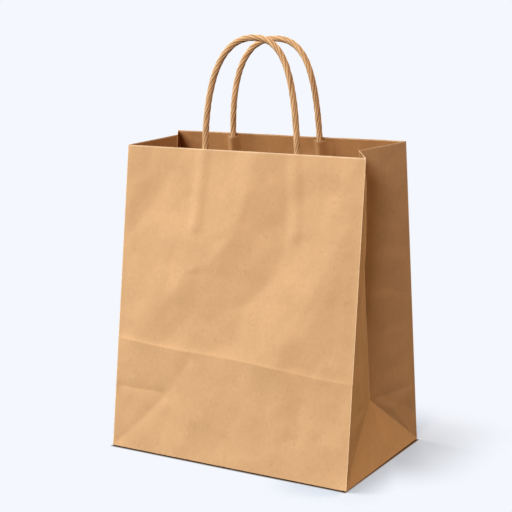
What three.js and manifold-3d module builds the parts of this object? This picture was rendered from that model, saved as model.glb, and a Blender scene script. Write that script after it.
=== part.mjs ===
// Brown kraft paper carrier bag: one folded sheet with V gussets and a block bottom, two twisted
// paper handles, and the two paper patches that hold the handles' legs against the inside.
// Millimetres, +Z up. The origin is the middle of the base, X runs along the width, -Y is the front.
import * as THREE from "three";
import { mergeVertices } from "three/addons/utils/BufferGeometryUtils.js";
import Module from "manifold-3d";

// Driving dimensions of the folded sheet
const WIDTH = 254; // front and back panels, side fold to side fold
const DEPTH = 168; // base, front fold to back fold
const FRONT_HEIGHT = 298; // front panel, measured up the paper
const BACK_LIP = 9; // how much taller the back panel is, as a lip to open the bag by
const FRONT_MOUTH = 48.5; // front rim, forward of the middle of the base
const BACK_MOUTH = 40; // back rim, behind the middle of the base
const PAPER = 0.2; // thickness of the sheet
const BOTTOM_LAYERS = 3; // end folds, back flap and front flap lie on each other under the base
const LEFT_VALLEY_INSET = 15; // each gusset's valley fold, in from the side folds at the rim
const RIGHT_VALLEY_INSET = 22;
const VALLEY_SKEW = 15.5; // left fold behind the middle of the base there, and right fold before it
const FOOT_INSET = 14.7; // foot of the valley fold, in from the side folds
const FOOT_HEIGHT = 61; // foot of the valley fold, above the base
const FLAP_OVERLAP = 24; // how far the two glued bottom flaps cover each other
const FOLD_MARGIN = 1.2; // paper that turns round the edge of the base
const CREASE_HEIGHT = 102; // fold across the front panel, left by packing the bag flat
const CREASE_RISE = 2; // how far that fold stands out from the panel
const CREASE_FADE = 30; // width over which it dies out towards the side folds
const CORNER_SINK = 1.2; // how far the 45 degree folds from the front corners of the base sink in
const CORNER_FADE = 30; // length over which they die out past the height of the gusset's foot

// Driving dimensions of the handles and their patches
const CORD_DIAMETER = 6;
const STRANDS = 6; // rolled paper strands laid round each other
const STRAND_GROOVE = 0.45; // depth of the groove between two strands
const TWIST_PITCH = 54; // length of one full turn of the strands
const HANDLE_SPACING = 97.5; // leg to leg, at the rim
const FRONT_OFFSET = 8.5; // each handle sits this far to the right of its own panel's middle
const BACK_OFFSET = 11;
const FRONT_RISE = 103.5; // top of each arch above its rim, on the cord's middle line
const BACK_RISE = 94;
const FRONT_TOP_LEAN = 6.5; // how far the top of each arch leans in over the mouth
const BACK_TOP_LEAN = 0.5;
const FRONT_SHOULDER_LEAN = -2; // and how far its shoulders do
const BACK_SHOULDER_LEAN = 6;
const LEG_SPLAY = THREE.MathUtils.degToRad(5); // glued legs part downwards, each by this angle
const ARCH_SPLAY = THREE.MathUtils.degToRad(2); // and less so above the rim
const LEG_LENGTH = 72; // leg glued below the rim
const SHOULDER_FULLNESS = 0.69; // share of the rise that the legs stay nearly straight for
const CROWN_FULLNESS = 0.66; // share of the half spacing that the top stays nearly level for
const PATCH_MARGIN = 1.5; // flat paper beyond the lifted paper at the patch's lower corners
const PATCH_HEIGHT = 86;
const PATCH_DROP = 2; // patch's upper edge, below the rim
const PATCH_CORNER = 5; // cut corner at each end of that edge
const BULGE_WIDTH = 17; // paper lifted off the panel by one leg
const BULGE_SLACK = 0.5; // air left between the lifted paper and the cord
const RIDGE_RISE = 0.8; // ridge that a leg presses into the panel
const RIDGE_FADE = 12; // length over which ridge and bulge die out below the leg
const GLUE_GAP = 0.3; // clearance between paper and paper, and between paper and cord

// How finely curves are divided
const FOOT_ROWS = 5; // rows of facets below the valley fold's foot
const WALL_ROWS = 3; // rows between two marked heights of a wall
const SIDE_COLUMNS = 4; // columns across one half of a gusset
const BASE_ROWS = 8; // rows across the base
const BULGE_STEPS = [-1, -0.66, -0.4, -0.2, 0, 0.2, 0.4, 0.66, 1]; // across a bulge, in half widths
const STRAND_POINTS = 2; // points round one strand of the cord
const MERGE_GRID = 1e-4; // corners closer than this are one corner

const UP = new THREE.Vector3(0, 0, 1);
const BACK_HEIGHT = FRONT_HEIGHT + BACK_LIP;
const CORD_RADIUS = CORD_DIAMETER / 2;

// The front and the back are built alike, the back turned half round about the upright axis.
const front = {
  turn: 0,
  height: FRONT_HEIGHT,
  slope: Math.asin((DEPTH / 2 - FRONT_MOUTH) / FRONT_HEIGHT),
  creaseRise: CREASE_RISE,
  cornerSink: CORNER_SINK,
  offset: FRONT_OFFSET,
  rise: FRONT_RISE,
  topLean: FRONT_TOP_LEAN,
  shoulderLean: FRONT_SHOULDER_LEAN,
};
const back = {
  turn: Math.PI,
  height: BACK_HEIGHT,
  slope: Math.asin((DEPTH / 2 - BACK_MOUTH) / BACK_HEIGHT),
  creaseRise: 0,
  cornerSink: 0,
  offset: BACK_OFFSET,
  rise: BACK_RISE,
  topLean: BACK_TOP_LEAN,
  shoulderLean: BACK_SHOULDER_LEAN,
};

// A point of a panel: x across it, s up along the paper, out away from the bag.
function onPanel(side, x, s, out = 0) {
  const y = -DEPTH / 2 + s * Math.sin(side.slope) - out * Math.cos(side.slope);
  const z = s * Math.cos(side.slope) + out * Math.sin(side.slope);
  return new THREE.Vector3(x, y, z).applyAxisAngle(UP, side.turn);
}

// Height of the gusset's foot, measured up the paper of a panel.
function footHeight(side) {
  return FOOT_HEIGHT / Math.cos(side.slope);
}

// Where a handle's left (-1) or right (1) leg crosses height s of its panel.
function legX(side, hand, s) {
  return side.offset + hand * (HANDLE_SPACING / 2 + (side.height - s) * Math.tan(LEG_SPLAY));
}

// Swell of paper over the two legs, from 0 to 1: a smooth hump that dies out below the legs.
function legHump(side, x, s) {
  const legEnd = side.height - LEG_LENGTH;
  const along = THREE.MathUtils.smoothstep(s, legEnd - RIDGE_FADE, legEnd);
  const humps = [-1, 1].map((hand) => {
    const off = Math.min(1, Math.abs(x - legX(side, hand, s)) / (BULGE_WIDTH / 2));
    return Math.cos((off * Math.PI) / 2) ** 2;
  });
  return along * Math.max(...humps);
}

// How far the folds left by flat packing lift a panel: a crease across it stands out, and a fold at
// 45 degrees from each corner of the base sinks in. Both end at the side folds, the base and the rim.
function packingRise(side, x, s) {
  const inFromSide = WIDTH / 2 - Math.abs(x);
  const below = s / CREASE_HEIGHT;
  const above = (side.height - s) / (side.height - CREASE_HEIGHT);
  const crease = Math.min(below, above) * Math.min(1, inFromSide / CREASE_FADE);
  const reach = (inFromSide + s) / 2;
  const along = Math.max(0, Math.min(reach / footHeight(side), 1 - (reach - footHeight(side)) / CORNER_FADE));
  const corner = reach > 0 ? (along * Math.min(inFromSide, s)) / reach : 0;
  return side.creaseRise * crease - side.cornerSink * corner;
}

// Evenly spaced values from one number to another, both included.
function spread(from, to, steps) {
  return Array.from({ length: steps + 1 }, (_, i) => THREE.MathUtils.lerp(from, to, i / steps));
}

// Joins runs of values, dropping each run's first value where it repeats the last one.
function chain(...runs) {
  return runs.reduce((joined, run) => [...joined, ...run.slice(1)]);
}

// Heights of a wall's rows: foot of the gusset fold, packing crease, end of the handle's legs, rim.
function wallRows(side) {
  const legEnd = side.height - LEG_LENGTH;
  return chain(
    spread(0, footHeight(side), FOOT_ROWS),
    spread(footHeight(side), CREASE_HEIGHT, 2),
    spread(CREASE_HEIGHT, legEnd - RIDGE_FADE, WALL_ROWS),
    spread(legEnd - RIDGE_FADE, legEnd, 2),
    spread(legEnd, side.height, WALL_ROWS),
  );
}

// Cross positions of columns at height s, from one edge to another, close together over the two legs.
function legColumns(side, s, left, right, sideSteps, midSteps) {
  const half = BULGE_WIDTH / 2;
  const [a, b] = [-1, 1].map((hand) => BULGE_STEPS.map((k) => legX(side, hand, s) + k * half));
  const middle = spread(a.at(-1), b[0], midSteps);
  return chain(spread(left, a[0], sideSteps), a, middle, b, spread(b.at(-1), right, sideSteps));
}

// A panel's columns run over the legs at the top and spread out below, on the corner folds at the foot.
function panelColumns(side, s) {
  const [edge, foot] = [WIDTH / 2, footHeight(side)];
  const high = legColumns(side, s, -edge, edge, 2, 3);
  const low = chain(
    spread(-edge, foot - edge, FOOT_ROWS),
    spread(foot - edge, edge - foot, high.length - 1 - 2 * FOOT_ROWS),
    spread(edge - foot, edge, FOOT_ROWS),
  );
  const share = THREE.MathUtils.clamp((s - foot) / (side.height - LEG_LENGTH - RIDGE_FADE - foot), 0, 1);
  return low.map((x, i) => THREE.MathUtils.lerp(x, high[i], share));
}

// Sheet of paper as corner points and triangles, each shared corner stored once.
class Sheet {
  constructor() {
    this.points = [];
    this.faces = [];
    this.known = new Map();
  }

  corner(point) {
    const key = point.toArray().map((value) => Math.round(value / MERGE_GRID)).join();
    if (!this.known.has(key)) {
      this.known.set(key, this.points.push(point) - 1);
    }
    return this.known.get(key);
  }

  face(a, b, c, layers) {
    if (a !== b && b !== c && c !== a) {
      this.faces.push({ corners: [a, b, c], layers });
    }
  }

  // Rows run upwards and points run to the right, as seen from the outside of the paper. Each square is
  // split along the diagonal that lies further in, so that the folds at 45 degrees keep their lines.
  addGrid(rows, layers = 1) {
    for (let i = 0; i + 1 < rows.length; i++) {
      for (let j = 0; j + 1 < rows[i].length; j++) {
        const square = [rows[i][j], rows[i][j + 1], rows[i + 1][j + 1], rows[i + 1][j]];
        const [rising, falling] = [0, 1].map((k) => new THREE.Vector3().subVectors(square[k + 2], square[k]));
        const middles = [0, 1].map((k) => new THREE.Vector3().addVectors(square[k], square[k + 2]));
        const outwards = rising.cross(falling);
        const [a, b, c, d] = square.map((point) => this.corner(point));
        if (middles[0].sub(middles[1]).dot(outwards) <= 0) {
          this.face(a, b, c, layers);
          this.face(a, c, d, layers);
        } else {
          this.face(a, b, d, layers);
          this.face(b, c, d, layers);
        }
      }
    }
  }

  // Each corner's way to the inner surface: as far behind every face round it as that face is thick.
  insets() {
    const sums = this.points.map(() => ({ matrix: new Array(9).fill(0), pull: new THREE.Vector3() }));
    for (const { corners, layers } of this.faces) {
      const [a, b, c] = corners.map((index) => this.points[index]);
      const normal = new THREE.Triangle(a, b, c).getNormal(new THREE.Vector3());
      const n = normal.toArray();
      for (const index of corners) {
        sums[index].matrix.forEach((_, k, m) => (m[k] += n[Math.floor(k / 3)] * n[k % 3]));
        sums[index].pull.addScaledVector(normal, -layers * PAPER);
      }
    }
    const tie = 1e-3; // keeps the corner from sliding along its paper
    return sums.map(({ matrix, pull }) => {
      const [a, b, c, d, e, f, g, h, i] = matrix;
      const system = new THREE.Matrix3(a + tie, b, c, d, e + tie, f, g, h, i + tie);
      return pull.applyMatrix3(system.invert());
    });
  }

  // Closed body: this sheet outside, its inset copy inside, and a strip of cut edge along each rim.
  shell() {
    const insets = this.insets();
    const inner = this.points.map((point, index) => point.clone().add(insets[index]));
    const count = this.points.length;
    const edges = new Set();
    const triangles = [];
    for (const { corners: [a, b, c] } of this.faces) {
      triangles.push(a, b, c, a + count, c + count, b + count);
      edges.add(`${a},${b}`).add(`${b},${c}`).add(`${c},${a}`);
    }
    for (const edge of edges) {
      const [a, b] = edge.split(",").map(Number);
      if (!edges.has(`${b},${a}`)) {
        triangles.push(b, a, a + count, b, a + count, b + count);
      }
    }
    return bodyGeometry([...this.points, ...inner], triangles);
  }
}

function bodyGeometry(points, triangles) {
  const geometry = new THREE.BufferGeometry().setFromPoints(points);
  geometry.setIndex(triangles);
  geometry.computeVertexNormals();
  return geometry;
}

// Points of one row of a panel at height s, with the crease and the handle's ridges in it.
function panelRow(side, s) {
  return panelColumns(side, s).map((x) => {
    return onPanel(side, x, s, packingRise(side, x, s) + RIDGE_RISE * legHump(side, x, s));
  });
}

// One gusset, from the right fold of one panel round to the left fold of the next.
function addGusset(sheet, first, second, hand) {
  const firstRows = wallRows(first);
  const secondRows = wallRows(second);
  const foot = new THREE.Vector3(hand * (WIDTH / 2 - FOOT_INSET), 0, FOOT_HEIGHT);
  const frontRim = onPanel(front, 0, front.height);
  const backRim = onPanel(back, 0, back.height);
  const top = frontRim.clone().lerp(backRim, (-hand * VALLEY_SKEW - frontRim.y) / (backRim.y - frontRim.y));
  top.x = hand * (WIDTH / 2 - (hand < 0 ? LEFT_VALLEY_INSET : RIGHT_VALLEY_INSET));
  const right = (s) => onPanel(first, WIDTH / 2, s);
  const left = (s) => onPanel(second, -WIDTH / 2, s);
  const between = (a, b, steps) => spread(0, 1, steps).map((t) => new THREE.Vector3().lerpVectors(a, b, t));

  // The fold that closes each half: up the base triangle's edge to the foot, then along the valley.
  const fold = (corner, row) => {
    if (row <= FOOT_ROWS) {
      return new THREE.Vector3().lerpVectors(corner, foot, row / FOOT_ROWS);
    }
    const above = (firstRows[row] - firstRows[FOOT_ROWS]) / (first.height - firstRows[FOOT_ROWS]);
    return new THREE.Vector3().lerpVectors(foot, top, above);
  };
  sheet.addGrid(firstRows.map((s, row) => between(right(s), fold(right(0), row), SIDE_COLUMNS)));
  sheet.addGrid(secondRows.map((s, row) => between(fold(left(0), row), left(s), SIDE_COLUMNS)));
  sheet.addGrid(spread(0, FOOT_ROWS, FOOT_ROWS).map((row) => {
    return between(fold(right(0), row), fold(left(0), row), BASE_ROWS);
  }));
}

// The base, seen from below: from the back fold to the front fold, all layers of its flaps together.
function addBase(sheet) {
  const frontFold = panelRow(front, 0);
  const backFold = panelRow(back, 0).reverse();
  sheet.addGrid(spread(0, 1, BASE_ROWS).map((t) => {
    return frontFold.map((point, i) => new THREE.Vector3().lerpVectors(backFold[i], point, t));
  }), BOTTOM_LAYERS);
}

// Flat prism from below the base up to a height, for cutting the underside.
function undersideCut(corners, height) {
  const shape = new THREE.Shape(corners.map(([x, y]) => new THREE.Vector2(x, y)));
  const below = PAPER * BOTTOM_LAYERS;
  const options = { depth: below + height, bevelEnabled: false };
  return new THREE.ExtrudeGeometry(shape, options).translate(0, 0, -below);
}

// The underside steps up by one paper from the front flap to the back flap, and again to the end folds.
// The flaps' ends run at 45 degrees from the corners of the base, as the sheet is folded there.
function undersideCuts() {
  const [x, y] = [WIDTH / 2 - FOLD_MARGIN, DEPTH / 2 - FOLD_MARGIN];
  const meet = x - y;
  const overlap = FLAP_OVERLAP / 2;
  const flapEdge = [[x, -y], [meet - overlap, overlap], [overlap - meet, overlap], [-x, -y]];
  const pastFlap = [...flapEdge, [-x, y], [x, y]];
  const ends = [-1, 1].map((hand) => [
    [hand * (meet + 2 * PAPER), 0],
    [hand * (x - PAPER), 3 * PAPER - y],
    [hand * (x - PAPER), y - 3 * PAPER],
  ]);
  return [undersideCut(pastFlap, PAPER), ...ends.map((end) => undersideCut(end, 2 * PAPER))];
}

function toSolid(wasm, geometry) {
  const bare = geometry.clone();
  bare.deleteAttribute("normal");
  bare.deleteAttribute("uv");
  const merged = mergeVertices(bare, MERGE_GRID);
  return new wasm.Manifold(new wasm.Mesh({
    numProp: 3,
    vertProperties: Float32Array.from(merged.attributes.position.array),
    triVerts: Uint32Array.from(merged.index.array),
  }));
}

function fromSolid(solid) {
  const { vertProperties, triVerts } = solid.getMesh();
  const geometry = new THREE.BufferGeometry();
  geometry.setAttribute("position", new THREE.BufferAttribute(vertProperties, 3));
  geometry.setIndex(new THREE.BufferAttribute(triVerts, 1));
  geometry.computeVertexNormals();
  return geometry;
}

// The whole folded sheet, open at the top, with its bottom flaps stepped out on the underside.
async function bagBody() {
  const sheet = new Sheet();
  for (const side of [front, back]) {
    sheet.addGrid(wallRows(side).map((s) => panelRow(side, s)));
  }
  addGusset(sheet, front, back, 1);
  addGusset(sheet, back, front, -1);
  addBase(sheet);

  const wasm = await Module();
  wasm.setup();
  const cuts = undersideCuts().map((cut) => toSolid(wasm, cut));
  return fromSolid(cuts.reduce((body, cut) => body.subtract(cut), toSolid(wasm, sheet.shell())));
}

// Middle line of the cord at height s of one leg: inside the panel, pressed into its ridge.
function cordOnPanel(side, hand, s) {
  const x = legX(side, hand, s);
  return onPanel(side, x, s, packingRise(side, x, s) + RIDGE_RISE - PAPER - GLUE_GAP - CORD_RADIUS);
}

// Middle line of a handle: up one leg, over the arch in two mirrored halves, down the other leg.
function handlePath(side) {
  const tops = [-1, 1].map((hand) => cordOnPanel(side, hand, side.height));
  const ends = [-1, 1].map((hand) => cordOnPanel(side, hand, side.height - LEG_LENGTH));
  const above = (x, lean, rise) => new THREE.Vector3(x, lean, rise).applyAxisAngle(UP, side.turn);
  const apex = new THREE.Vector3().lerpVectors(tops[0], tops[1], 0.5).add(above(0, side.topLean, side.rise));
  const shoulderRise = SHOULDER_FULLNESS * side.rise;
  const [left, right] = [-1, 1].map((hand, i) => {
    const inwards = -hand * shoulderRise * Math.tan(ARCH_SPLAY);
    const shoulder = tops[i].clone().add(above(inwards, side.shoulderLean, shoulderRise));
    const crown = apex.clone().add(above((hand * CROWN_FULLNESS * HANDLE_SPACING) / 2, 0, 0));
    return [tops[i], shoulder, crown, apex];
  });
  const path = new THREE.CurvePath();
  path.add(new THREE.LineCurve3(ends[0], tops[0]));
  path.add(new THREE.CubicBezierCurve3(...left));
  path.add(new THREE.CubicBezierCurve3(...right.reverse()));
  path.add(new THREE.LineCurve3(tops[1], ends[1]));
  return path;
}

// Cord outline at an angle round the cord: one rounded lobe for each strand, with a groove between.
function cordOutline(angle) {
  return CORD_RADIUS - STRAND_GROOVE * (1 - Math.abs(Math.sin((angle * STRANDS) / 2)));
}

// Twisted paper handle: the lobed outline swept along the middle line, turning as it goes.
function handle(side) {
  const path = handlePath(side);
  const ring = STRANDS * STRAND_POINTS;
  const steps = Math.round((path.getLength() / TWIST_PITCH) * ring);
  const facing = new THREE.Vector3(0, -1, 0).applyAxisAngle(UP, side.turn);
  const points = [];
  const triangles = [];
  for (let i = 0; i <= steps; i++) {
    const middle = path.getPoint(i / steps);
    const tangent = path.getTangent(i / steps);
    const sideways = new THREE.Vector3().crossVectors(tangent, facing).normalize();
    const outwards = new THREE.Vector3().crossVectors(sideways, tangent);
    const turn = (2 * Math.PI * i) / ring;
    for (let j = 0; j < ring; j++) {
      const angle = (2 * Math.PI * j) / ring;
      const point = middle.clone();
      point.addScaledVector(outwards, cordOutline(angle) * Math.cos(angle + turn));
      points.push(point.addScaledVector(sideways, -cordOutline(angle) * Math.sin(angle + turn)));
      if (i < steps) {
        const next = (j + 1) % ring;
        const [a, b] = [i * ring + j, i * ring + next];
        triangles.push(a, b + ring, b, a, a + ring, b + ring);
      }
    }
  }
  const first = points.push(path.getPoint(0)) - 1;
  const last = points.push(path.getPoint(1)) - 1;
  for (let j = 0; j < ring; j++) {
    const next = (j + 1) % ring;
    triangles.push(first, j, next, last, steps * ring + next, steps * ring + j);
  }
  return bodyGeometry(points, triangles);
}

// Paper patch inside a panel: glued flat, with a tunnel for each leg of the handle, open at the top.
function handlePatch(side) {
  const top = side.height - PATCH_DROP;
  const bottom = top - PATCH_HEIGHT;
  const legEnd = side.height - LEG_LENGTH;
  const halfWidth = legX(side, 1, bottom) - side.offset + BULGE_WIDTH / 2 + PATCH_MARGIN;
  const lift = CORD_DIAMETER + GLUE_GAP + BULGE_SLACK - RIDGE_RISE;
  const rows = chain(
    spread(bottom, legEnd - RIDGE_FADE, 1),
    spread(legEnd - RIDGE_FADE, legEnd, 3),
    spread(legEnd, top - PATCH_CORNER, 2),
    spread(top - PATCH_CORNER, top, 1),
  );
  const sheet = new Sheet();
  sheet.addGrid(rows.map((s) => {
    const reach = halfWidth - Math.max(0, PATCH_CORNER - (top - s));
    return legColumns(side, s, side.offset - reach, side.offset + reach, 1, 2).map((x) => {
      return onPanel(side, x, s, packingRise(side, x, s) - PAPER - GLUE_GAP - lift * legHump(side, x, s));
    });
  }));
  return sheet.shell();
}

function paper(color, roughness) {
  return new THREE.MeshStandardMaterial({ color, roughness, metalness: 0 });
}

function piece(name, geometry, material) {
  const mesh = new THREE.Mesh(geometry, material);
  mesh.name = name;
  return mesh;
}

const bag = new THREE.Group();
bag.add(piece("bag_body", await bagBody(), paper("#cfa376", 0.85)));
bag.add(piece("front_handle", handle(front), paper("#d2ab80", 0.8)));
bag.add(piece("back_handle", handle(back), paper("#d2ab80", 0.8)));
bag.add(piece("front_handle_patch", handlePatch(front), paper("#c79b6c", 0.85)));
bag.add(piece("back_handle_patch", handlePatch(back), paper("#c79b6c", 0.85)));

export default bag;
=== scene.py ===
# Brown kraft carrier bag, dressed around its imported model. Lengths are millimetres until a mesh is made.
import math

import bmesh
import bpy
import numpy as np
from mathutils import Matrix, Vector


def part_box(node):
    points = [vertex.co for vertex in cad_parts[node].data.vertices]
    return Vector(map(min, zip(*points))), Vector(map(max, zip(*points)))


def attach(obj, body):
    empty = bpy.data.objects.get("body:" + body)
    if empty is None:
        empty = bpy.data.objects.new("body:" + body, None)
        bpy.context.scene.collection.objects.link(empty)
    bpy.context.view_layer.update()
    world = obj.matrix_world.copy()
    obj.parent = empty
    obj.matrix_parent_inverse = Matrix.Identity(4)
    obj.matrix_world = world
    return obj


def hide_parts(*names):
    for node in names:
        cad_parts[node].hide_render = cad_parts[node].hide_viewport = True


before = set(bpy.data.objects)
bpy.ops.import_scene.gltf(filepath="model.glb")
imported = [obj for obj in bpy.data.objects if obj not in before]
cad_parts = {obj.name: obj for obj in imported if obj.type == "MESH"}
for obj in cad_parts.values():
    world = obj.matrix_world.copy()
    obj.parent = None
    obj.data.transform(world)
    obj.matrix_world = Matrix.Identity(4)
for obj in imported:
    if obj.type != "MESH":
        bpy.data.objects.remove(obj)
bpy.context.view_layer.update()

# Folded sheet of the bag. One piece of brown kraft paper is glued to a tube and folded into two panels,
# two V gussets and a block bottom, whose two flaps are glued over each other. It was packed flat, and
# the folds of that still show across the front panel and from the corners of the base.
MM = 0.001  # metres in a millimetre
body_low, body_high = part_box("bag_body")
WIDTH = (body_high.x - body_low.x) / MM
DEPTH = (body_high.y - body_low.y) / MM
FRONT_HEIGHT = 298  # up the paper of the front panel
BACK_LIP = 9  # the back panel is this much taller
FRONT_MOUTH = 48.5  # front rim, forward of the middle of the base
BACK_MOUTH = 40
PAPER = 0.2  # thickness
VALLEY_INSETS = {-1: 15, 1: 22}  # left and right gusset's valley fold, in from the side folds at the rim
VALLEY_SKEW = 15.5  # left fold behind the middle of the base there, and right fold before it
FOOT_INSET = 14.7  # foot of a valley fold, in from the side folds
FOOT_HEIGHT = 61  # and above the base
GUSSET_HALF = 51  # from side fold to valley fold
GUSSET_BOW = 4  # slack half of a gusset, bowed out
CREASE_HEIGHT = 102  # packing fold across the front panel
CREASE_RISE = 0.7  # its pressed line
PANEL_SWELL = 4  # the front panel's swell towards that fold
CORNER_SINK = 1.2  # 45 degree folds from the front corners of the base
CORNER_FADE = 30  # length over which they die out past the gusset's foot
FOOT_SHIFT = 2.3  # the front panel's right foot stands out past the base's rectangle
FLAP_OVERLAP = 24  # the two bottom flaps cover each other by this much
BOTTOM_LAYERS = 2  # flaps below the base
EDGE_LIFT = 1.3  # the folded edge round the base stands clear of the table
LIFT_FADE = 14  # width over which the paper settles from that edge
SEAM_PLACE = 62  # lap where the tube is glued, from the middle of the back panel
SEAM_WIDTH = 18

HANDLE_SPACING = 97.5  # leg to leg at the rim
FRONT_LEG_OFFSET = 8.5  # middle of the front handle, right of its panel's middle
BACK_LEG_OFFSET = 11
LEG_SPLAY = math.radians(2.6)  # the glued legs part downwards
LEG_LENGTH = 72  # glued below the rim
RIDGE_RISE = 1.2  # ridge that a leg presses into the panel
RIDGE_WIDTH = 21
RIDGE_FADE = 12  # length over which it dies out below the leg

CELL = 2.6  # size of a square of the meshed sheet
GUSSET_COLUMNS = 21  # across one half of a gusset
FLAP_COLUMNS = 61
RUB_HIGHLIGHT = 0.8  # width of the paler line along a fold: rubbed paper and a painted highlight
GUSSET_RUB_HIGHLIGHT = 0.016  # the same as a share of a gusset's half
FLAP_RUB_HIGHLIGHT = 0.012  # and of a flap's half
RIM_RUB_HIGHLIGHT = 0.9  # width of the paler line along the cut rim: rubbed paper and a painted highlight
RIM_ROW = 0.5  # last row below that line
RIM_RUB_HIGHLIGHT_LEVEL = 0.65  # how strongly the rim's rubbed line and painted highlight show, where a fold is 1
RAMP_BLUNTING = np.linspace(-3, 3, 7)  # shifts that round the line where two slack ramps meet
FOLD_BLUNTING = 0.6  # a pressed fold's line is rounded this far
SHARP_FOLD = math.radians(24)  # folds turn more than this, and are shaded with a crisp edge


def ease(start, end, value):
    """Smooth step from 0 at start to 1 at end."""
    t = np.clip((value - start) / (end - start), 0, 1)
    return t * t * (3 - 2 * t)


def ramps(x, lines, heights):
    """Height on flat ramps from each line across the paper to the next, blunt where they meet."""
    total = heights[0]
    for i in range(len(lines) - 1):
        run = np.maximum(lines[i + 1] - lines[i], 1)
        shares = [np.clip((x + shift - lines[i]) / run, 0, 1) for shift in RAMP_BLUNTING]
        total = total + np.mean(shares, axis=0) * (heights[i + 1] - heights[i])
    return total


def fold_line(x, s, start, end, rise, reach):
    """Fold pressed along a line of the paper: rise high on it, and dying out over reach to both sides."""
    run, climb = end[0] - start[0], end[1] - start[1]
    length = math.hypot(run, climb)
    along = ((x - start[0]) * run + (s - start[1]) * climb) / length
    across = ((x - start[0]) * climb - (s - start[1]) * run) / length
    past = np.maximum(0, np.maximum(-along, along - length))
    away = np.hypot(np.hypot(across, 2 * past), FOLD_BLUNTING) - FOLD_BLUNTING
    return rise * np.exp(-away / reach)


def crumple(x, s, seed, size=34, bend=0.026):
    """Flat facets of handled paper, each tilted a little its own way, with crisp edges between them."""
    draw = np.random.default_rng(seed)
    along, across = (s + 0.5 * x) * 0.8, x - 0.5 * s
    bowls = []
    for _ in range(2):
        spread = np.arange(-8, 17) * size
        middles = np.stack(np.meshgrid(spread, spread), axis=-1).reshape(-1, 2)
        middles = middles + draw.uniform(-0.5, 0.5, middles.shape) * size
        bowls.append(np.min([(along - m[0]) ** 2 + (across - m[1]) ** 2 for m in middles], axis=0))
    return (bowls[1] - bowls[0]) * bend / size


def front_folds(x, s):
    """Relief of the front panel: the packing folds, and slack facets that run down to the left."""
    edge = WIDTH / 2
    inside = edge - np.abs(x)
    above = s - CREASE_HEIGHT
    to_crease = np.minimum(s / CREASE_HEIGHT, (FRONT_HEIGHT - s) / (FRONT_HEIGHT - CREASE_HEIGHT))
    to_sides = np.sin(np.minimum(1, inside / 120) * math.pi / 2)
    relief = PANEL_SWELL * (0.85 + x / 800) * to_crease * to_sides
    crease = np.exp(-np.maximum(above, 0) / 2.6 - np.maximum(-above, 0) / 20)
    relief = relief + CREASE_RISE * crease * (1.1 - x / 400) * ease(-6, 12, inside)

    reach = (inside + s) / 2
    along = np.clip(np.minimum(reach / FOOT_HEIGHT, 1 - (reach - FOOT_HEIGHT) / CORNER_FADE), 0, 1)
    relief = relief - CORNER_SINK * along * np.minimum(inside, s) / np.maximum(reach, 1e-6)
    pressed_lines = [  # start, end, rise and reach of each
        ((-edge, 0), (-70, 58), -0.8, 5),
        ((-70, 58), (-42, 95), -0.6, 6),
        ((-edge, front.foot), (-72, front.foot), -1.0, 6),
        ((edge, 0), (95, 42), -0.9, 6),
        ((78, 40), (76, 74), -1.1, 10),
        ((62, 46), (104, 36), 1.1, 18),
    ]
    pressed = sum(fold_line(x, s, *line) for line in pressed_lines)
    relief = relief + pressed * ease(0, 6, inside) * ease(0, 6, s)

    valley_left = np.interp(s, [200, 235, 298], [-edge, -102, -62])
    ridge_left = np.interp(s, [105, 155, 180, 190, 215, 250, 298], [-105, -66, -52, -28, -2, 8, 16])
    valley_right = np.interp(s, [110, 150, 185, 225, 298], [1, 12, 44, 55, 60])
    ridge_right = np.interp(s, [105, 130, 165, 200, 240, 298], [52, 62, 80, 96, 116, 124])
    lines = [-edge, valley_left, ridge_left, valley_right, ridge_right, edge]
    heights = [
        0,
        -2.2 * ease(205, 240, s),
        3.4 * (0.3 + 0.7 * ease(110, 170, s)),
        -1.2 - 1.3 * ease(190, 260, s),
        np.minimum(2.4, 0.055 * (edge - ridge_right)),
        0,
    ]
    above_crease = 0.25 + 0.75 * ease(CREASE_HEIGHT - 20, CREASE_HEIGHT + 12, s)
    slack = ramps(x, lines, heights) * above_crease * (1 - 0.5 * ease(250, 298, s))
    slack = slack + crumple(x, s, 3) * (0.8 + 0.2 * ease(CREASE_HEIGHT - 15, CREASE_HEIGHT + 15, s))
    return relief + slack * ease(0, 12, inside) * ease(0, 20, s)


def back_folds(x, s):
    """Relief of the back panel: the lap of the tube's glued seam, and slack facets."""
    inside = WIDTH / 2 - np.abs(x)
    lap = (x > SEAM_PLACE) * (1 - ease(SEAM_PLACE + SEAM_WIDTH, SEAM_PLACE + 2 * SEAM_WIDTH, x))
    lean = np.interp(s, [0, 130, 180, 310], [40, 20, -20, -30])
    lines = [place + lean * (1 - abs(place) / 150) for place in (-127, -75, -10, 45, 127)]
    slack = ramps(x, lines, [0, 1.6, -1.0, 2.0, 0]) * (1 - 0.6 * ease(250, 307, s))
    slack = (slack + crumple(x, s, 5)) * ease(0, 25, inside) * ease(0, 20, s)
    return PAPER * lap * ease(0, 4, s) + slack


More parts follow.
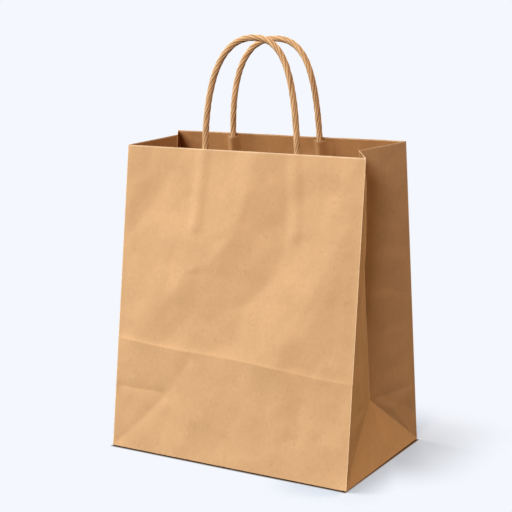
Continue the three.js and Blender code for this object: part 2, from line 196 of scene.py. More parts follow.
class Panel:
    """Front or back of the bag: x runs across it, s up along its paper, and out away from the bag."""

    def __init__(self, facing, height, mouth, leg_offset, relief):
        self.facing = facing  # -1 looks along -Y, 1 along +Y
        self.height = height
        self.slope = math.asin((DEPTH / 2 - mouth) / height)
        self.foot = FOOT_HEIGHT / math.cos(self.slope)
        self.leg_offset = leg_offset
        self.relief = relief

    def place(self, x, s, out):
        """Points of the bag's own frame."""
        away = DEPTH / 2 - s * math.sin(self.slope) + out * math.cos(self.slope)
        lift = EDGE_LIFT * np.clip(1 - s / LIFT_FADE, 0, 1)
        up = s * math.cos(self.slope) + out * math.sin(self.slope) + lift
        if self.facing < 0:
            x = x + FOOT_SHIFT * np.maximum(0, x) / (WIDTH / 2) * (1 - s / self.height)
        return np.stack(np.broadcast_arrays(-self.facing * x, self.facing * away, up), axis=-1)

    def leg(self, hand, s):
        """Where the handle's left (-1) or right (1) leg crosses height s."""
        return self.leg_offset + hand * (HANDLE_SPACING / 2 + (self.height - s) * math.tan(LEG_SPLAY))

    def hump(self, x, s, width=RIDGE_WIDTH):
        """Swell of paper over the legs, from 0 to 1."""
        leg_end = self.height - LEG_LENGTH
        near = [np.minimum(1, np.abs(x - self.leg(hand, s)) / (width / 2)) for hand in (-1, 1)]
        return ease(leg_end - RIDGE_FADE, leg_end, s) * np.cos(np.minimum(*near) * math.pi / 2) ** 2


front = Panel(-1, FRONT_HEIGHT, FRONT_MOUTH, FRONT_LEG_OFFSET, front_folds)
back = Panel(1, FRONT_HEIGHT + BACK_LIP, BACK_MOUTH, BACK_LEG_OFFSET, back_folds)


def cells(start, end):
    """Evenly spaced stations of about one cell, from start to end."""
    return np.linspace(start, end, round(abs(end - start) / CELL) + 1)


def with_rub_highlight_ends(stations, rub_and_highlight=RUB_HIGHLIGHT):
    """The same stations with one more close to each end, for the rubbed line and painted highlight there.
    """
    start, end = stations[0], stations[-1]
    return np.concatenate([[start, start + rub_and_highlight], stations[1:-1], [end - rub_and_highlight, end]])


def edge_rub_highlight(rows, columns, sides):
    """Rubbed line with painted highlight: 1 along the named sides of a grid of points, the rim's level
    along a rim, and 0 elsewhere.
    """
    wear_and_highlight = np.zeros((rows, columns))
    places = {"low": np.s_[0], "high": np.s_[-1], "left": np.s_[:, 0], "right": np.s_[:, -1]}
    places["rim"] = np.s_[-2:]
    for side in sides:
        wear_and_highlight[places[side]] = RIM_RUB_HIGHLIGHT_LEVEL if side == "rim" else 1
    return wear_and_highlight


def wall_rows(panel):
    """Heights of a panel's rows, three of them close together on the gusset's foot and the packing fold."""
    plan = [0, FOOT_HEIGHT, CREASE_HEIGHT, FRONT_HEIGHT]
    marks = [0, panel.foot, CREASE_HEIGHT, panel.height]
    runs = [np.linspace(*marks[i:i + 2], len(cells(*plan[i:i + 2])))[:-1] for i in range(3)]
    beside_folds = np.add.outer(marks[1:3], [-RUB_HIGHLIGHT, RUB_HIGHLIGHT]).ravel()
    rim = panel.height - np.array([RIM_RUB_HIGHLIGHT + RIM_ROW, RIM_RUB_HIGHLIGHT, 0])
    return np.sort(np.concatenate([*runs, beside_folds, rim]))


def panel_grid(panel):
    """Points of a panel, its rows bent along the packing fold and its columns set on the seam."""
    columns = with_rub_highlight_ends(cells(-WIDTH / 2, WIDTH / 2))
    if panel is back:
        seam = np.searchsorted(columns, SEAM_PLACE)
        columns[seam - 1:seam + 1] = SEAM_PLACE, SEAM_PLACE + PAPER / 2
    x, s = np.meshgrid(columns, wall_rows(panel))
    wander = 1.5 + np.sin(x / 31 + 1) - x / 21
    bend = wander * ease(panel.foot, CREASE_HEIGHT, s) * (1 - ease(CREASE_HEIGHT, 190, s))
    out = panel.relief(x, s) + RIDGE_RISE * panel.hump(x, s)
    return panel.place(x, s + bend * (panel is front), out)


def pushed_out(grid, out):
    """A grid of points moved out along its own surface's normals."""
    across = np.gradient(grid, axis=1)
    normal = np.cross(across, np.gradient(grid, axis=0))
    length = np.linalg.norm(normal, axis=-1, keepdims=True)
    return grid + out[..., None] * normal / np.maximum(length, 1e-9)


def gusset_grids(right_edge, left_edge, hand, seed):
    """Two halves of a gusset and the base triangle below it, between the side folds of two panels."""
    foot = np.array([hand * (WIDTH / 2 - FOOT_INSET), 0, FOOT_HEIGHT])
    corners = (right_edge[-1], left_edge[-1])
    along = (-hand * VALLEY_SKEW - corners[0][1]) / (corners[1][1] - corners[0][1])
    top = corners[0] + (corners[1] - corners[0]) * along
    top[0] = hand * (WIDTH / 2 - VALLEY_INSETS[hand])
    heights = wall_rows(front)
    foot_row = np.argmin(np.abs(heights - front.foot))
    low = np.clip(heights / front.foot, 0, 1)[:, None]
    high = np.clip((heights - front.foot) / (front.height - front.foot), 0, 1)[:, None]
    valley = foot + (top - foot) * high
    share = with_rub_highlight_ends(np.linspace(0, 1, GUSSET_COLUMNS), GUSSET_RUB_HIGHLIGHT)
    grids = []
    for edge, reverse in ((right_edge, False), (left_edge, True)):
        fold = np.where(low < 1, edge[0] + (foot - edge[0]) * low, valley)
        t, s = np.meshgrid(share, heights)
        grid = edge[:, None] + (fold - edge)[:, None] * t[..., None]
        width = GUSSET_HALF * t
        relief = crumple(width + 200 * reverse, s, seed, 30, 0.04)
        relief = relief + fold_line(width, s, (0, FOOT_HEIGHT), (GUSSET_HALF, FOOT_HEIGHT), -0.6, 5)
        relief = relief + fold_line(width, s, (4, 224), (47, 227), -0.35, 9) * reverse
        relief = relief * np.sin(math.pi * t) ** 0.7 * ease(0, 12, s)
        if not reverse:
            bow = np.sin(math.pi * t) * ease(110, 240, s) * (1 - ease(265, 305, s))
            relief = relief + GUSSET_BOW * bow
        else:
            grid, relief = grid[:, ::-1], relief[:, ::-1]
        grids.append((pushed_out(grid, relief), edge_rub_highlight(*t.shape, ["left", "right", "rim"])))
    across = with_rub_highlight_ends(cells(0, DEPTH) / DEPTH, RUB_HIGHLIGHT / DEPTH)
    ends = [edge[0] + (foot - edge[0]) * low[:foot_row + 1] for edge in (right_edge, left_edge)]
    triangle = ends[0][:, None] + (ends[1] - ends[0])[:, None] * across[:, None]
    t, r = np.meshgrid(DEPTH * (across - 0.5), FOOT_HEIGHT * low[:foot_row + 1, 0])
    flare = t * (1 - r / FOOT_HEIGHT)
    relief = fold_line(flare, r, (-26, 6), (-2, 58), -0.45, 5)
    relief = relief + fold_line(flare, r, (14, 12), (1, 58), 0.4, 4)
    relief = relief * ease(0, 10, r) * (1 - ease(50, FOOT_HEIGHT, r)) * np.sin(math.pi * across) ** 0.7
    grids.append((pushed_out(triangle, relief), edge_rub_highlight(*t.shape, ["left", "right"])))
    return grids


def base_drop(x, y):
    """Height of the base's paper: it settles from its folded edge on to the flaps below it."""
    inside = np.minimum(WIDTH / 2 - np.abs(x), DEPTH / 2 - np.abs(y))
    rest = BOTTOM_LAYERS * PAPER
    return EDGE_LIFT + (rest - EDGE_LIFT) * ease(0, LIFT_FADE, inside)


def base_grid(front_fold, back_fold):
    """The base from below, from its back fold to its front fold."""
    across = with_rub_highlight_ends(cells(0, DEPTH) / DEPTH, RUB_HIGHLIGHT / DEPTH)[:, None, None]
    grid = back_fold[::-1] + (front_fold - back_fold[::-1]) * across
    grid[..., 2] = base_drop(grid[..., 0], grid[..., 1])
    return grid, edge_rub_highlight(*grid.shape[:2], [])


def flap_grid(facing, layer):
    """A bottom flap from below: folded in from its panel, its ends cut at 45 degrees."""
    length = DEPTH / 2 + FLAP_OVERLAP / 2
    back_from_fold = with_rub_highlight_ends(cells(0, length))[:, None]
    half_width = WIDTH / 2 - back_from_fold
    x = half_width * with_rub_highlight_ends(np.linspace(-1, 1, FLAP_COLUMNS), FLAP_RUB_HIGHLIGHT)
    y = facing * (DEPTH / 2 - back_from_fold) + 0 * x
    z = base_drop(x, y) - layer * PAPER * ease(0, 5, back_from_fold)
    grid = np.stack([x, y, z], axis=-1)
    if facing < 0:
        grid = grid[::-1]
    return grid, edge_rub_highlight(*x.shape, ["low", "high", "left", "right"])


def sheet_piece(name, grids):
    """Paper piece of several grids of points, welded where their edges meet and given its thickness."""
    points, faces, wear_and_highlight, count = [], [], [], 0
    for grid, rub_and_highlight in grids:
        rows, columns = rub_and_highlight.shape
        index = count + np.arange(rows * columns).reshape(rows, columns)
        corners = [index[:-1, :-1], index[:-1, 1:], index[1:, 1:], index[1:, :-1]]
        faces += np.stack(corners, -1).reshape(-1, 4).tolist()
        points.append(grid.reshape(-1, 3) * MM)
        wear_and_highlight.append(rub_and_highlight.ravel())
        count += rows * columns
    mesh = bpy.data.meshes.new(name)
    mesh.from_pydata(np.concatenate(points).tolist(), [], faces)
    mesh.attributes.new("wear_and_highlight", "FLOAT", "POINT").data.foreach_set("value", np.concatenate(wear_and_highlight))
    shape = bmesh.new()
    shape.from_mesh(mesh)
    bmesh.ops.remove_doubles(shape, verts=shape.verts, dist=0.01 * MM)
    for face in shape.faces:
        face.smooth = True
    for edge in shape.edges:
        edge.smooth = len(edge.link_faces) == 2 and edge.calc_face_angle(0) < SHARP_FOLD
    shape.to_mesh(mesh)
    shape.free()
    piece = bpy.data.objects.new(name, mesh)
    bpy.context.scene.collection.objects.link(piece)
    thickness = piece.modifiers.new("paper", "SOLIDIFY")
    thickness.thickness = PAPER * MM
    thickness.offset = -1
    thickness.use_even_offset = True
    thickness.material_offset = 1
    return piece


def srgb(red, green, blue):
    """Linear colour of an 8-bit screen colour."""
    levels = np.array([red, green, blue]) / 255
    return (*np.where(levels <= 0.04045, levels / 12.92, ((levels + 0.055) / 1.055) ** 2.4).tolist(), 1)


def add_node(tree, kind, inputs=(), **settings):
    """New node of a tree, its inputs given by name or number as values or as sockets to link."""
    made = tree.nodes.new(kind)
    for name, value in settings.items():
        setattr(made, name, value)
    for key, value in dict(inputs).items():
        if isinstance(value, bpy.types.NodeSocket):
            tree.links.new(value, made.inputs[key])
        else:
            made.inputs[key].default_value = value
    return made


def calc(tree, operation, *values):
    """Result of a Math node."""
    return add_node(tree, "ShaderNodeMath", enumerate(values), operation=operation).outputs[0]


def mix_color(tree, share, first, second, blend="MIX"):
    """Result of a colour Mix node."""
    inputs = {0: share, 6: first, 7: second}
    return add_node(tree, "ShaderNodeMix", inputs, data_type="RGBA", blend_type=blend).outputs[2]


def noise(tree, vector, scale, detail=2.0):
    """Value of a noise of so many waves in a metre."""
    inputs = {"Vector": vector, "Scale": scale, "Detail": detail}
    return add_node(tree, "ShaderNodeTexNoise", inputs).outputs[0]


def spots(tree, vector, scale, start, end):
    """Sparse spots: 0 where a noise is below start, 1 where it is above end."""
    source = noise(tree, vector, scale, 1.0)
    ranges = {"Value": source, "From Min": start, "From Max": end}
    return add_node(tree, "ShaderNodeMapRange", ranges, interpolation_type="SMOOTHSTEP").outputs[0]


def kraft_fibres():
    """Unbleached fibres: cloudy tone, dark and pale flecks, and a paler line of rubbed paper and painted
    highlight where its share is 1.
    """
    group = bpy.data.node_groups.new("kraft_fibres", "ShaderNodeTree")
    for name, kind in (("Vector", "Vector"), ("Paper", "Color"), ("Pale And Highlight", "Color"), ("Wear And Highlight", "Float"),
                       ("Cloud", "Float"), ("Flecks", "Float")):
        group.interface.new_socket(name, in_out="INPUT", socket_type="NodeSocket" + kind)
    for name, kind in (("Color", "Color"), ("Roughness", "Float"), ("Height", "Float")):
        group.interface.new_socket(name, in_out="OUTPUT", socket_type="NodeSocket" + kind)
    given = add_node(group, "NodeGroupInput").outputs
    place = given["Vector"]
    stretched = add_node(group, "ShaderNodeMapping", {"Vector": place, "Scale": (1, 1, 0.22)}).outputs[0]
    broad = noise(group, place, 42, 2)
    small = noise(group, place, 260, 3)
    grain = noise(group, stretched, 1500, 2)
    tone = calc(group, "ADD", calc(group, "MULTIPLY", broad, 0.5), calc(group, "MULTIPLY", small, 0.35))
    tone = calc(group, "ADD", tone, calc(group, "MULTIPLY", grain, 0.25))
    tone = calc(group, "MULTIPLY", calc(group, "SUBTRACT", tone, 0.55), given["Cloud"])
    tone = calc(group, "ADD", tone, 1.0)
    toned = {0: given["Paper"], "Scale": tone}
    clouded = add_node(group, "ShaderNodeVectorMath", toned, operation="SCALE").outputs[0]
    dark = calc(group, "MULTIPLY", spots(group, place, 330, 0.66, 0.74), given["Flecks"])
    pale = calc(group, "MULTIPLY", spots(group, stretched, 410, 0.68, 0.76), given["Flecks"])
    color = mix_color(group, dark, clouded, srgb(128, 84, 48))
    color = mix_color(group, pale, color, given["Pale And Highlight"])
    # paler line along folds and the rim: rubbed paper with a painted highlight
    uneven = calc(group, "ADD", 0.4, calc(group, "MULTIPLY", small, 1.2))
    rubbed_highlight = calc(group, "MINIMUM", calc(group, "MULTIPLY", given["Wear And Highlight"], uneven), 1.0)
    color = mix_color(group, rubbed_highlight, color, given["Pale And Highlight"])
    rough = calc(group, "ADD", 0.74, calc(group, "MULTIPLY", small, 0.16))
    height = calc(group, "ADD", calc(group, "MULTIPLY", grain, 0.4), small)
    add_node(group, "NodeGroupOutput", {"Color": color, "Roughness": rough, "Height": height})
    return group


kraft = kraft_fibres()


def kraft_material(name, paper, pale_and_highlight, cloud, flecks):
    """Uncoated brown paper, matt, with its fibres just felt in the surface."""
    material = bpy.data.materials.new(name)
    material.use_nodes = True
    tree = material.node_tree
    tree.nodes.clear()
    place = add_node(tree, "ShaderNodeTexCoord").outputs["Object"]
    wear_and_highlight = add_node(tree, "ShaderNodeAttribute", attribute_name="wear_and_highlight").outputs["Fac"]
    fibres = add_node(tree, "ShaderNodeGroup", node_tree=kraft)
    tree.links.new(place, fibres.inputs["Vector"])
    tree.links.new(wear_and_highlight, fibres.inputs["Wear And Highlight"])
    fibres.inputs["Paper"].default_value = paper
    fibres.inputs["Pale And Highlight"].default_value = pale_and_highlight
    fibres.inputs["Cloud"].default_value = cloud
    fibres.inputs["Flecks"].default_value = flecks
    felt = {"Height": fibres.outputs["Height"], "Strength": 0.3, "Distance": 0.25 * MM}
    bump = add_node(tree, "ShaderNodeBump", felt)
    surface = {"Base Color": fibres.outputs["Color"], "Roughness": fibres.outputs["Roughness"],
               "Normal": bump.outputs[0], "Specular IOR Level": 0.1}
    shader = add_node(tree, "ShaderNodeBsdfPrincipled", surface)
    add_node(tree, "ShaderNodeOutputMaterial", {"Surface": shader.outputs[0]})
    return material


front_points = panel_grid(front)
back_points = panel_grid(back)
bag_sheet = sheet_piece("bag_sheet", [
    (front_points, edge_rub_highlight(*front_points.shape[:2], ["left", "right", "rim"])),
    (back_points, edge_rub_highlight(*back_points.shape[:2], ["left", "right", "rim"])),
    *gusset_grids(front_points[:, -1], back_points[:, 0], 1, 11),
    *gusset_grids(back_points[:, -1], front_points[:, 0], -1, 12),
    base_grid(front_points[0], back_points[0]),
    flap_grid(1, 1),
    flap_grid(-1, 2),
])
smooth_side = kraft_material("kraft_smooth_side", srgb(212, 170, 126), srgb(244, 212, 174),
                             cloud=0.34, flecks=0.12)
# the inner, rough side is the same paper, coloured darker: painted shade of the bag's dim inside
rough_side_painted_shade = kraft_material("kraft_rough_side_painted_shade", srgb(168, 122, 79), srgb(236, 200, 158),
                            cloud=0.4, flecks=0.16)
bag_sheet.data.materials.append(smooth_side)
bag_sheet.data.materials.append(rough_side_painted_shade)
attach(bag_sheet, "root")
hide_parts("bag_body")

# Handle patches. A strip of the same kraft paper is glued inside each panel below the rim. It lies flat
# on the panel and lifts into a tunnel over each leg of the handle, open at the top.
PATCH_HEIGHT = 86
PATCH_DROP = 2  # below the rim
PATCH_CORNER = 5  # cut off each upper corner
PATCH_MARGIN = 1.5  # flat paper outside the tunnels at the lower corners
PATCH_COLUMNS = 91
GLUE = 0.1  # between patch and panel
TUNNEL_WIDTH = 17
TUNNEL_LIFT = 6
LIP_DIP = 0.3  # the tunnel's mouth sags this much below the patch's straight edge
LIP_FADE = 25  # length of tunnel over which it does


def patch_grid(panel):
    """Points of a patch seen from outside the bag, its columns running on down the splayed tunnels."""
    top = panel.height - PATCH_DROP
    rows = with_rub_highlight_ends(cells(top - PATCH_HEIGHT, top))[:, None]
    reach = panel.leg(1, rows[0]) - panel.leg_offset + TUNNEL_WIDTH / 2 + PATCH_MARGIN
    reach = reach - np.maximum(0, PATCH_CORNER - (top - rows))
    x = panel.leg_offset + reach * with_rub_highlight_ends(np.linspace(-1, 1, PATCH_COLUMNS), RUB_HIGHLIGHT / reach[0, 0])
    s = rows + 0 * x
    hump = panel.hump(x, s, TUNNEL_WIDTH)
    out = panel.relief(x, s) - PAPER - GLUE - TUNNEL_LIFT * hump
    sag = LIP_DIP * hump * ease(top - LIP_FADE, top, s)
    # the tunnels' mouths get the paler rim line: rubbed paper and a painted highlight on the lip
    return panel.place(x, s - sag, out), edge_rub_highlight(*x.shape, ["rim"]) * hump


# the patch is the same paper, coloured darker: painted shade of the bag's dim inside
patch_painted_shade = kraft_material("kraft_patch_painted_shade", srgb(172, 125, 80), srgb(226, 186, 142),
                             cloud=0.4, flecks=0.16)
for name, panel in (("front", front), ("back", back)):
    patch = sheet_piece(name + "_patch", [patch_grid(panel)])
    patch.data.materials.append(patch_painted_shade)
    patch.data.materials.append(patch_painted_shade)
    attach(patch, "root")
    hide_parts(name + "_handle_patch")

# Handles. Six strands of rolled kraft paper are laid round each other to a stiff cord, bent to an arch
# and glued by its two legs between the panel and its patch.
CORD_RADIUS = 3
CORD_CLEARANCE = 0.3
STRANDS = 6
STRAND_GROOVE = 0.45
STRAND_WANDER = 1.4  # radians by which a strand strays from its lay
PAPER_CRINKLE = 0.5
LAY_LENGTH = 54  # one full turn of the strands
ARCH_SPLAY = math.radians(2)  # the legs' lean to each other above the rim
LEG_DEPTHS = np.linspace(LEG_LENGTH, 14, 5)  # knots of a glued leg, below the rim
SHOULDER_FULLNESS = 0.69  # share of the rise that the legs stay nearly straight for
CROWN_FULLNESS = 0.66  # share of the half spacing that the top stays nearly level for
RING_STEP = 0.9
RING_POINTS = 48


def middle_line(name, panel, rise, top_lean, shoulder_lean):
    """Curve along the middle of a cord: up one leg, over the arch, down the other leg."""
    def on_panel(hand, s):
        """Place of a leg's middle between panel and patch."""
        x = panel.leg(hand, s)
        sunk = panel.relief(x, s) + RIDGE_RISE - PAPER - CORD_CLEARANCE - CORD_RADIUS
        return Vector(panel.place(x, s, sunk))

    def above(x, lean, up):
        """Step across the panel, in over the mouth and up."""
        return Vector((-panel.facing * x, -panel.facing * lean, up))

    tops = [on_panel(hand, panel.height) for hand in (-1, 1)]
    legs = [[on_panel(hand, panel.height - depth) for depth in LEG_DEPTHS] for hand in (-1, 1)]
    apex = (tops[0] + tops[1]) / 2 + above(0, top_lean, rise)
    shoulder_rise = SHOULDER_FULLNESS * rise
    inwards = shoulder_rise * math.tan(ARCH_SPLAY)
    shoulders = [tops[i] + above(inwards * (1, -1)[i], shoulder_lean, shoulder_rise) for i in (0, 1)]
    crowns = [apex + above(hand * CROWN_FULLNESS * HANDLE_SPACING / 2, 0, 0) for hand in (-1, 1)]
    bends = [tops[i].lerp(legs[i][-1], 0.4) for i in (0, 1)]
    knots = [
        *((place,) for place in legs[0]),
        (tops[0], bends[0], shoulders[0]),
        (apex, crowns[0], crowns[1]),
        (tops[1], shoulders[1], bends[1]),
        *((place,) for place in reversed(legs[1])),
    ]
    curve = bpy.data.curves.new(name, "CURVE")
    curve.dimensions = "3D"
    curve.resolution_u = 40
    spline = curve.splines.new("BEZIER")
    spline.bezier_points.add(len(knots) - 1)
    for point, (place, *handles) in zip(spline.bezier_points, knots):
        point.co = place * MM
        point.handle_left_type = point.handle_right_type = "FREE" if handles else "AUTO"
        if handles:
            point.handle_left, point.handle_right = (handle * MM for handle in handles)
    line = bpy.data.objects.new(name, curve)
    bpy.context.scene.collection.objects.link(line)
    return line


def laid_cord():
    """Geometry Nodes tree: sweeps a cord along a middle line and presses the strands' grooves into it."""
    tree = bpy.data.node_groups.new("laid_cord", "GeometryNodeTree")
    sockets = {"Middle Line": "Object", "Cord Radius": "Float", "Strands": "Float", "Groove": "Float",
               "Lay Length": "Float", "Wander": "Float", "Crinkle": "Float", "Ring Step": "Float",
               "Ring Points": "Int", "Paper": "Material"}
    for name, kind in sockets.items():
        tree.interface.new_socket(name, in_out="INPUT", socket_type="NodeSocket" + kind)
    tree.interface.new_socket("Geometry", in_out="OUTPUT", socket_type="NodeSocketGeometry")
    given = add_node(tree, "NodeGroupInput").outputs

    def store(geometry, name, value, data_type="FLOAT"):
        """Geometry with a value kept on its points."""
        inputs = {"Geometry": geometry, "Name": name, "Value": value}
        return add_node(tree, "GeometryNodeStoreNamedAttribute", inputs, data_type=data_type).outputs[0]

    def stored(name, data_type="FLOAT"):
        """A value that was kept on the points."""
        inputs = {"Name": name}
        return add_node(tree, "GeometryNodeInputNamedAttribute", inputs, data_type=data_type).outputs[0]

    def vector(operation, *values):
        """Result of a Vector Math node."""
        return add_node(tree, "ShaderNodeVectorMath", enumerate(values), operation=operation).outputs[0]

    line = add_node(tree, "GeometryNodeObjectInfo", {"Object": given["Middle Line"]}).outputs["Geometry"]
    stepped = {"Curve": line, "Length": given["Ring Step"]}
    rail = add_node(tree, "GeometryNodeResampleCurve", stepped, mode="LENGTH").outputs[0]
    rail = store(rail, "along", add_node(tree, "GeometryNodeSplineParameter").outputs["Length"])
    position = add_node(tree, "GeometryNodeInputPosition").outputs[0]
    rail = store(rail, "middle", position, "FLOAT_VECTOR")
    around = {"Resolution": given["Ring Points"], "Radius": given["Cord Radius"]}
    ring = add_node(tree, "GeometryNodeCurvePrimitiveCircle", around)
    index = add_node(tree, "GeometryNodeInputIndex").outputs[0]
    angle = calc(tree, "MULTIPLY", calc(tree, "DIVIDE", index, given["Ring Points"]), 2 * math.pi)
    ring = store(ring.outputs[0], "around", angle)
    swept = {"Curve": rail, "Profile Curve": ring, "Fill Caps": True}
    cord = add_node(tree, "GeometryNodeCurveToMesh", swept).outputs[0]

    turned = calc(tree, "MULTIPLY", calc(tree, "DIVIDE", stored("along"), given["Lay Length"]), 2 * math.pi)
    laid = calc(tree, "SUBTRACT", stored("around"), turned)
    strand_place = add_node(tree, "ShaderNodeCombineXYZ", {
        "X": calc(tree, "MULTIPLY", calc(tree, "COSINE", laid), given["Cord Radius"]),
        "Y": calc(tree, "MULTIPLY", calc(tree, "SINE", laid), given["Cord Radius"]),
        "Z": calc(tree, "MULTIPLY", stored("along"), 0.1),
    }).outputs[0]
    stray = calc(tree, "SUBTRACT", noise(tree, strand_place, 260, 1), 0.5)
    wander = calc(tree, "MULTIPLY", stray, given["Wander"])
    strand_angle = calc(tree, "MULTIPLY", calc(tree, "ADD", laid, wander), given["Strands"])
    lobe = calc(tree, "ABSOLUTE", calc(tree, "SINE", calc(tree, "MULTIPLY", strand_angle, 0.5)))
    hollow = calc(tree, "SUBTRACT", 1.0, calc(tree, "POWER", lobe, 0.7))
    wrinkle = calc(tree, "SUBTRACT", noise(tree, strand_place, 900, 3), 0.5)
    out = calc(tree, "MULTIPLY", wrinkle, given["Crinkle"])
    out = calc(tree, "SUBTRACT", out, calc(tree, "MULTIPLY", hollow, given["Groove"]))
    outwards = vector("NORMALIZE", vector("SUBTRACT", position, stored("middle", "FLOAT_VECTOR")))
    moved = {0: outwards, "Scale": out}
    offset = add_node(tree, "ShaderNodeVectorMath", moved, operation="SCALE").outputs[0]
    cord = store(cord, "groove", hollow)
    cord = store(cord, "lay", strand_place, "FLOAT_VECTOR")
    cord = add_node(tree, "GeometryNodeSetPosition", {"Geometry": cord, "Offset": offset}).outputs[0]
    for name in ("along", "around", "middle"):
        cord = add_node(tree, "GeometryNodeRemoveAttribute", {"Geometry": cord, "Name": name}).outputs[0]
    cord = add_node(tree, "GeometryNodeSetShadeSmooth", {"Geometry": cord}).outputs[0]
    cord = add_node(tree, "GeometryNodeRealizeInstances", {"Geometry": cord}).outputs[0]
    dressed = {"Geometry": cord, "Material": given["Paper"]}
    cord = add_node(tree, "GeometryNodeSetMaterial", dressed).outputs[0]
    add_node(tree, "NodeGroupOutput", {"Geometry": cord})
    return tree


def cord_material():
    """Rolled kraft paper: pleats that follow the strands, with painted shade in their hollows and down in
    the grooves.
    """
    material = bpy.data.materials.new("twisted_kraft")
    material.use_nodes = True
    tree = material.node_tree
    tree.nodes.clear()
    lay = add_node(tree, "ShaderNodeAttribute", attribute_name="lay").outputs["Vector"]
    groove = add_node(tree, "ShaderNodeAttribute", attribute_name="groove").outputs["Fac"]
    fibres = add_node(tree, "ShaderNodeGroup", node_tree=kraft)
    tree.links.new(add_node(tree, "ShaderNodeTexCoord").outputs["Object"], fibres.inputs["Vector"])
    fibres.inputs["Paper"].default_value = srgb(236, 192, 144)
    fibres.inputs["Pale And Highlight"].default_value = srgb(240, 206, 166)
    fibres.inputs["Wear And Highlight"].default_value = 0
    fibres.inputs["Cloud"].default_value = 0.3
    fibres.inputs["Flecks"].default_value = 0.15
    pleats = noise(tree, lay, 700, 3)
    pleat_tone = add_node(tree, "ShaderNodeMapRange", {"Value": pleats, "From Min": 0.35, "From Max": 0.62})
    # painted shade in the pleats' hollows
    shade = calc(tree, "MULTIPLY", calc(tree, "SUBTRACT", 1.0, pleat_tone.outputs[0]), 0.5)
    # painted shade down in the grooves between the strands
    painted_groove_shade = calc(tree, "MULTIPLY", calc(tree, "POWER", groove, 1.2), 0.9)
    color = mix_color(tree, shade, fibres.outputs["Color"], srgb(186, 136, 88))
    color = mix_color(tree, painted_groove_shade, color, srgb(92, 56, 28))
    bump = add_node(tree, "ShaderNodeBump", {"Height": pleats, "Strength": 0.5, "Distance": 0.4 * MM})
    surface = {"Base Color": color, "Roughness": fibres.outputs["Roughness"], "Normal": bump.outputs[0],
               "Specular IOR Level": 0.15}
    shader = add_node(tree, "ShaderNodeBsdfPrincipled", surface)
    add_node(tree, "ShaderNodeOutputMaterial", {"Surface": shader.outputs[0]})
    return material


cord_tree = laid_cord()
cord_kraft = cord_material()
cord_sizes = {"Cord Radius": CORD_RADIUS * MM, "Strands": STRANDS, "Groove": STRAND_GROOVE * MM,
              "Lay Length": LAY_LENGTH * MM, "Wander": STRAND_WANDER, "Crinkle": PAPER_CRINKLE * MM,
              "Ring Step": RING_STEP * MM, "Ring Points": RING_POINTS, "Paper": cord_kraft}
ARCHES = (("front", front, 103.5, 6.5, -2), ("back", back, 94, 0.5, 6))  # rise, lean of top and shoulders
for name, panel, rise, top_lean, shoulder_lean in ARCHES:
    line = middle_line(name + "_middle_line", panel, rise, top_lean, shoulder_lean)
    handle = bpy.data.objects.new(name + "_cord", bpy.data.meshes.new(name + "_cord"))
    bpy.context.scene.collection.objects.link(handle)
    laying = handle.modifiers.new("laying", "NODES")
    laying.node_group = cord_tree
    for socket in cord_tree.interface.items_tree:
        if socket.in_out == "INPUT":
            laying[socket.identifier] = line if socket.name == "Middle Line" else cord_sizes[socket.name]
    laid = handle.evaluated_get(bpy.context.evaluated_depsgraph_get())
    handle.data = bpy.data.meshes.new_from_object(laid)
    handle.modifiers.remove(laying)
    bpy.data.objects.remove(line)
    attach(handle, "root")
    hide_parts(name + "_handle")

# Studio. A plain pale floor under soft lamps: a broad cool key from the left, two lamps in front, two
# behind, and a weak warm room all round. The floor shows its own pale colour and keeps the bag's shadow.
PALE = srgb(244, 247, 253)
scene = bpy.context.scene
scene.view_settings.view_transform = "Standard"


def seen_ray(tree):
    """1 for rays that show the backdrop itself: straight from the camera, mirrored or through glass."""
    path = add_node(tree, "ShaderNodeLightPath").outputs
    shown = calc(tree, "MAXIMUM", path["Is Camera Ray"], path["Is Glossy Ray"])
    return calc(tree, "MAXIMUM", shown, path["Is Transmission Ray"])


world = bpy.data.worlds.new("studio")
scene.world = world
world.use_nodes = True
sky = world.node_tree
sky.nodes.clear()
room = add_node(sky, "ShaderNodeBackground", {"Color": (1.0, 0.52, 0.26, 1), "Strength": 0.23})
backdrop = add_node(sky, "ShaderNodeBackground", {"Color": PALE, "Strength": 1.0})
shown = add_node(sky, "ShaderNodeMixShader", {0: seen_ray(sky), 1: room.outputs[0], 2: backdrop.outputs[0]})
add_node(sky, "ShaderNodeOutputWorld", {"Surface": shown.outputs[0]})


def towards(side, height):
    """Direction so many degrees to the right of the bag's front and above the floor."""
    side, height = math.radians(side), math.radians(height)
    level = math.cos(height)
    return Vector((math.sin(side) * level, -math.cos(side) * level, math.sin(height)))


def studio_lamp(name, direction, softness, color, energy):
    """Lamp as far away as the sun, as wide as softness in degrees."""
    lamp = bpy.data.objects.new(name, bpy.data.lights.new(name, "SUN"))
    lamp.data.energy = energy
    lamp.data.color = color
    lamp.data.angle = math.radians(softness)
    lamp.rotation_euler = direction.to_track_quat("Z", "Y").to_euler()
    scene.collection.objects.link(lamp)


studio_lamp("side_key", towards(-75, 40), 28, (0.79, 0.93, 1.0), 3.55)
studio_lamp("left_fill", towards(-25, 25), 20, (0.76, 0.92, 1.0), 0.6)
studio_lamp("front_lamp", towards(8, 25), 20, (1.0, 0.93, 0.85), 1.93)
studio_lamp("back_lamp", towards(155, 45), 30, (1.0, 0.78, 0.47), 1.7)
studio_lamp("rear_lamp", towards(205, 25), 30, (1.0, 0.97, 0.92), 1.2)

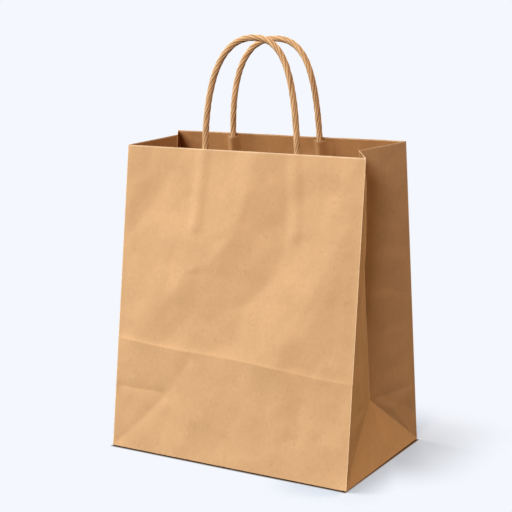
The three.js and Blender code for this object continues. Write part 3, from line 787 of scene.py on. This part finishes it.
FLOOR_REACH = 60000
FLOOR_PAINT = (0.67, 0.59, 0.58, 1)  # what of the lamps' light the floor throws back near the bag
OPEN_LIGHT = (1.67, 1.567, 1.416, 1)  # of the lamps and the room, on the floor where nothing shades it
FLOOR_BOUNCE = (0.055, 0.038, 0.025, 1)  # light thrown back on to the bag
SHADED_BEHIND = 0.78  # share of that paint which shows behind the bag's right side
SHADE_BEHIND = 95  # none shows so far away from there
SHADED_BESIDE = 0.75  # the same along the right side
SHADE_BESIDE = 42
CONTACT = 3  # width of the brown line of painted contact shadow where the bag stands on the floor
CONTACT_SHADOW_BROWN = (0.07, 0.035, 0.015, 1)
floor_mesh = bpy.data.meshes.new("floor")
signs = ((-1, -1), (1, -1), (1, 1), (-1, 1))
floor_corners = [(x * FLOOR_REACH * MM, y * FLOOR_REACH * MM, 0) for x, y in signs]
floor_mesh.from_pydata(floor_corners, [], [(0, 1, 2, 3)])
floor = bpy.data.objects.new("floor", floor_mesh)
scene.collection.objects.link(floor)
floor_paint = bpy.data.materials.new("floor")
floor_paint.use_nodes = True
paint = floor_paint.node_tree
paint.nodes.clear()


def floor_vector(operation, *values):
    """Result of a Vector Math node of the floor's paint."""
    return add_node(paint, "ShaderNodeVectorMath", enumerate(values), operation=operation).outputs[0]


def away_from(low, high):
    """Distance from a rectangle of the floor."""
    middle = [(a + b) / 2 * MM for a, b in zip(low, high)]
    half = [(b - a) / 2 * MM for a, b in zip(low, high)]
    place = add_node(paint, "ShaderNodeTexCoord").outputs["Object"]
    off_middle = floor_vector("ABSOLUTE", floor_vector("SUBTRACT", place, (*middle, 0)))
    outside = floor_vector("MAXIMUM", floor_vector("SUBTRACT", off_middle, (*half, 0)), (0, 0, 0))
    return add_node(paint, "ShaderNodeVectorMath", {0: outside}, operation="LENGTH").outputs["Value"]


def shade_share(low, high, most, reach):
    """Share of the floor's paint which shows: most on a rectangle, and none at a reach from it."""
    fading = {"Value": away_from(low, high), "From Min": 0.0, "From Max": reach * MM,
              "To Min": most, "To Max": 0.0}
    return add_node(paint, "ShaderNodeMapRange", fading, interpolation_type="SMOOTHSTEP").outputs[0]


behind = shade_share((70, 25), (WIDTH / 2, DEPTH / 2 + 35), SHADED_BEHIND, SHADE_BEHIND)
beside = shade_share((90, -DEPTH / 2), (WIDTH / 2, DEPTH / 2), SHADED_BESIDE, SHADE_BESIDE)
from_base = away_from((-WIDTH / 2, -DEPTH / 2), (WIDTH / 2 + FOOT_SHIFT / 2, DEPTH / 2))
touching = {"Value": from_base, "From Min": 0.0, "From Max": CONTACT * MM}
clear = add_node(paint, "ShaderNodeMapRange", touching).outputs[0]
share = calc(paint, "MULTIPLY", calc(paint, "MAXIMUM", behind, beside), clear)
shown_paint = mix_color(paint, share, (0, 0, 0, 1), FLOOR_PAINT)
in_open_light = mix_color(paint, 1.0, shown_paint, OPEN_LIGHT, "MULTIPLY")
lack = mix_color(paint, 1.0, PALE, in_open_light, "SUBTRACT")
lit = add_node(paint, "ShaderNodeBsdfDiffuse", {"Color": shown_paint})
# painted contact shadow: the floor's glow turns brown where the bag stands on it
glow = add_node(paint, "ShaderNodeEmission", {"Color": mix_color(paint, clear, CONTACT_SHADOW_BROWN, lack)})
pale = add_node(paint, "ShaderNodeAddShader", {0: lit.outputs[0], 1: glow.outputs[0]})
dull = add_node(paint, "ShaderNodeBsdfDiffuse", {"Color": FLOOR_BOUNCE})
shown = add_node(paint, "ShaderNodeMixShader", {0: seen_ray(paint), 1: dull.outputs[0], 2: pale.outputs[0]})
add_node(paint, "ShaderNodeOutputMaterial", {"Surface": shown.outputs[0]})
floor_mesh.materials.append(floor_paint)

# Camera, at the photograph's place: to the right of the front panel and a little above the rim.
VIEW_SIDE = 29.86  # degrees to the right of the bag's front
VIEW_HEIGHT = 10.393  # degrees above the floor
VIEW_TARGET = Vector((-11.67, 0, 188.5))
VIEW_DISTANCE = 1219.4
VIEW_LENS = 87.76
SENSOR_WIDTH = 36
towards_camera = towards(VIEW_SIDE, VIEW_HEIGHT)
camera = bpy.data.objects.new("camera", bpy.data.cameras.new("camera"))
camera.location = (VIEW_TARGET + towards_camera * VIEW_DISTANCE) * MM
camera.rotation_euler = towards_camera.to_track_quat("Z", "Y").to_euler()
camera.data.lens = VIEW_LENS
camera.data.sensor_width = SENSOR_WIDTH
scene.collection.objects.link(camera)
scene.camera = camera
